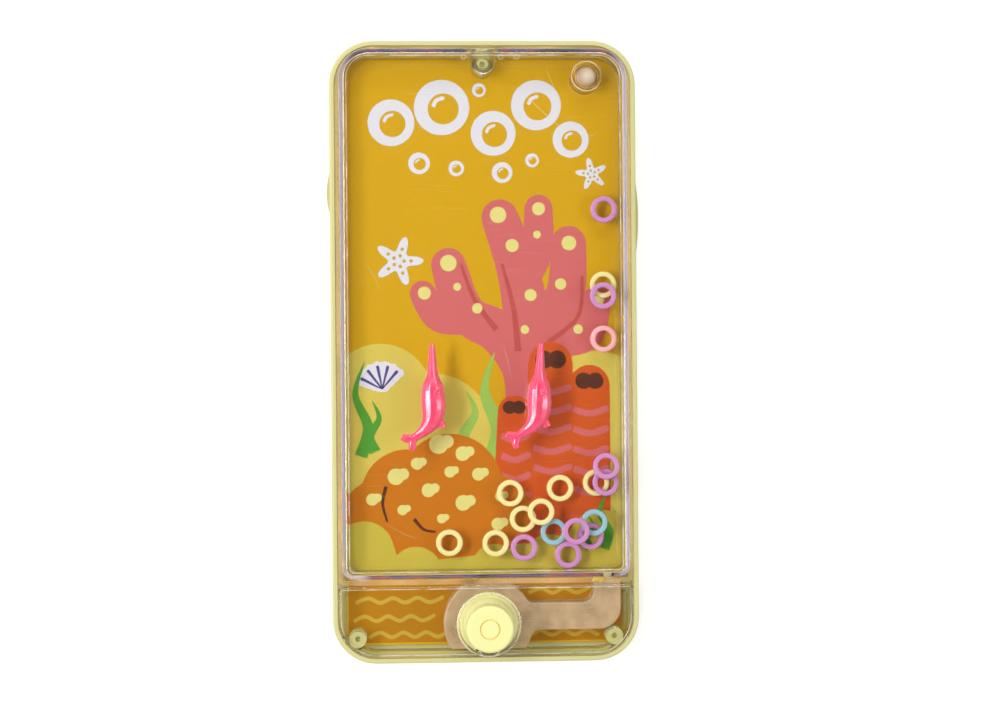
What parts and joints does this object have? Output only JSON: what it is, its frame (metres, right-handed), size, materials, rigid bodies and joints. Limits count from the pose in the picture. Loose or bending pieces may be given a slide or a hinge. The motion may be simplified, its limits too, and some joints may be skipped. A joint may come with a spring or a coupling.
{
  "type": "water ring toss game",
  "caption": "Hand-held water toy: clear tank of loose rings and two swordfish pegs in a pale shell, with a push-button pump below and a filling plug at the back.",
  "frame": {"origin": "middle of the flat back face, on the surface the game lies on", "axes": "+X to the right and +Y to the top of the game as it is held, +Z out of its window"},
  "size_m": [0.0716, 0.142, 0.0175],
  "materials": {
    "shell_plastic": "moulded pale lemon plastic, satin",
    "printed_card": "colour-printed coated card",
    "clear_plastic": "clear, with hairline scratches",
    "violet_adhesive": "cured adhesive line, patchy violet",
    "pearl_pink": "hot pink with a pearly gloss",
    "milky_plastic": "milky translucent, soft gloss",
    "clear_rubber": "soft translucent seal",
    "lemon_rubber": "soft, satin",
    "lemon_button": "pale lemon, satin, moulded outline on its face",
    "milky_rubber": "soft milky stopper",
    "ring_cream": "smooth, low gloss",
    "ring_orchid": "smooth, low gloss",
    "ring_blue": "smooth, low gloss",
    "ring_pink": "smooth, low gloss"
  },
  "bodies": {
    "casing": {"rear_cover": "shell_plastic", "printed_card": "printed_card", "tank_back": "clear_plastic", "tank_seal": "violet_adhesive", "tank_front": "clear_plastic", "lower_cover": "clear_plastic", "swordfish_peg_left": "pearl_pink", "swordfish_peg_right": "pearl_pink", "pump_base": "milky_plastic", "pump_top": "milky_plastic", "inlet_grommet": "clear_rubber", "pump_bellows": "lemon_rubber"},
    "button": {"push_button": "lemon_button"},
    "plug": {"filler_plug": "milky_rubber"},
    "ring_cream_1": {"ring_cream_1": "ring_cream"},
    "ring_cream_2": {"ring_cream_2": "ring_cream"},
    "ring_cream_3": {"ring_cream_3": "ring_cream"},
    "ring_cream_4": {"ring_cream_4": "ring_cream"},
    "ring_cream_5": {"ring_cream_5": "ring_cream"},
    "ring_cream_6": {"ring_cream_6": "ring_cream"},
    "ring_cream_7": {"ring_cream_7": "ring_cream"},
    "ring_cream_8": {"ring_cream_8": "ring_cream"},
    "ring_orchid_1": {"ring_orchid_1": "ring_orchid"},
    "ring_orchid_2": {"ring_orchid_2": "ring_orchid"},
    "ring_orchid_3": {"ring_orchid_3": "ring_orchid"},
    "ring_orchid_4": {"ring_orchid_4": "ring_orchid"},
    "ring_orchid_5": {"ring_orchid_5": "ring_orchid"},
    "ring_orchid_6": {"ring_orchid_6": "ring_orchid"},
    "ring_orchid_7": {"ring_orchid_7": "ring_orchid"},
    "ring_orchid_8": {"ring_orchid_8": "ring_orchid"},
    "ring_blue_1": {"ring_blue_1": "ring_blue"},
    "ring_blue_2": {"ring_blue_2": "ring_blue"},
    "ring_pink_1": {"ring_pink_1": "ring_pink"}
  },
  "joints": [
    {"name": "button_press", "type": "slide", "parent": "casing", "child": "button", "axis": [0, 0, -1], "range_m": [0, 0.0035], "stiffness_N_per_m": 400, "deforming": ["pump_bellows"]},
    {"name": "plug_pull", "type": "slide", "parent": "casing", "child": "plug", "axis": [0, 0, -1], "range_m": [0, 0.009]},
    {"name": "ring_cream_1_drift", "type": "slide", "parent": "casing", "child": "ring_cream_1", "axis": [0, 1, 0], "range_m": [0, 0.03]},
    {"name": "ring_cream_2_drift", "type": "slide", "parent": "casing", "child": "ring_cream_2", "axis": [-0.7071, 0.7071, 0], "range_m": [0, 0.04]},
    {"name": "ring_cream_3_drift", "type": "slide", "parent": "casing", "child": "ring_cream_3", "axis": [0, 1, 0], "range_m": [0, 0.09]},
    {"name": "ring_cream_4_drift", "type": "slide", "parent": "casing", "child": "ring_cream_4", "axis": [0.866, 0.5, 0], "range_m": [0, 0.0014]},
    {"name": "ring_cream_5_drift", "type": "slide", "parent": "casing", "child": "ring_cream_5", "axis": [0, 1, 0], "range_m": [0, 0.0145]},
    {"name": "ring_cream_6_drift", "type": "slide", "parent": "casing", "child": "ring_cream_6", "axis": [0, 1, 0], "range_m": [0, 0.088]},
    {"name": "ring_cream_7_drift", "type": "slide", "parent": "casing", "child": "ring_cream_7", "axis": [0, 1, 0], "range_m": [0, 0.026]},
    {"name": "ring_cream_8_drift", "type": "slide", "parent": "casing", "child": "ring_cream_8", "axis": [0, 1, 0], "range_m": [0, 0.0105]},
    {"name": "ring_orchid_1_drift", "type": "slide", "parent": "casing", "child": "ring_orchid_1", "axis": [0, 1, 0], "range_m": [0, 0.0245]},
    {"name": "ring_orchid_2_drift", "type": "slide", "parent": "casing", "child": "ring_orchid_2", "axis": [0, 1, 0], "range_m": [0, 0.0435]},
    {"name": "ring_orchid_3_drift", "type": "slide", "parent": "casing", "child": "ring_orchid_3", "axis": [0, 1, 0], "range_m": [0, 0.03]},
    {"name": "ring_orchid_4_drift", "type": "slide", "parent": "casing", "child": "ring_orchid_4", "axis": [-1, 0, 0], "range_m": [0, 0.02]},
    {"name": "ring_orchid_5_drift", "type": "slide", "parent": "casing", "child": "ring_orchid_5", "axis": [0.866, -0.5, 0], "range_m": [0, 0.003]},
    {"name": "ring_orchid_6_drift", "type": "slide", "parent": "casing", "child": "ring_orchid_6", "axis": [0, 1, 0], "range_m": [0, 0.088]},
    {"name": "ring_orchid_7_drift", "type": "slide", "parent": "casing", "child": "ring_orchid_7", "axis": [0, 1, 0], "range_m": [0, 0.0058]},
    {"name": "ring_orchid_8_drift", "type": "slide", "parent": "casing", "child": "ring_orchid_8", "axis": [1, 0, 0], "range_m": [0, 0.0006]},
    {"name": "ring_blue_1_drift", "type": "slide", "parent": "casing", "child": "ring_blue_1", "axis": [0.7071, 0.7071, 0], "range_m": [0, 0.003]},
    {"name": "ring_blue_2_drift", "type": "slide", "parent": "casing", "child": "ring_blue_2", "axis": [-0.7071, 0.7071, 0], "range_m": [0, 0.01]},
    {"name": "ring_pink_1_drift", "type": "slide", "parent": "casing", "child": "ring_pink_1", "axis": [0, 1, 0], "range_m": [0, 0.0058]}
  ]
}
